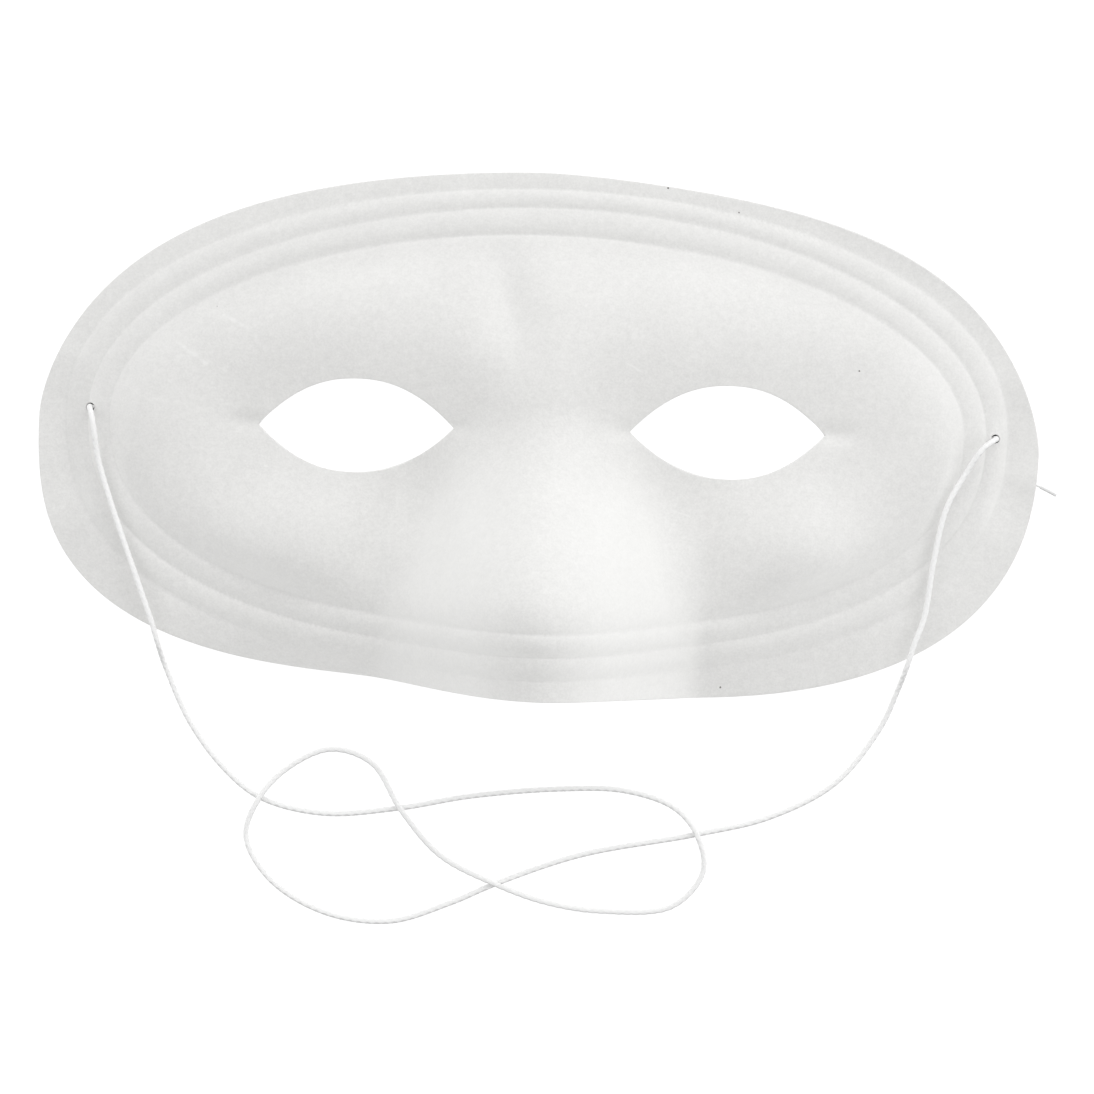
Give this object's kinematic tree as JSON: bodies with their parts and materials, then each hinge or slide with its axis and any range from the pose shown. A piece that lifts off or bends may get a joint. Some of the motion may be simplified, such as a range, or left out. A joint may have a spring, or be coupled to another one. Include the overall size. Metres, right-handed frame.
{
  "type": "half face mask",
  "caption": "Thin moulded half mask in an oval shape, with a double-ribbed rim, almond eye openings, a nose open at its lower end, and a limp elastic cord knotted through the side holes.",
  "frame": {"origin": "on the surface the mask lies on, under the middle of the mask shell's own box", "axes": "+X along the mask to the viewer's right as it is worn, +Y towards the forehead, +Z out of the face, upwards as it lies"},
  "size_m": [0.1753, 0.1321, 0.039],
  "materials": {
    "flocked_plastic": "short white flock on thin moulded plastic sheet",
    "elastic": "braided white elastic"
  },
  "bodies": {
    "root": {"mask_shell": "flocked_plastic", "elastic_cord": "elastic", "knot_left": "elastic", "knot_right": "elastic"}
  },
  "joints": []
}
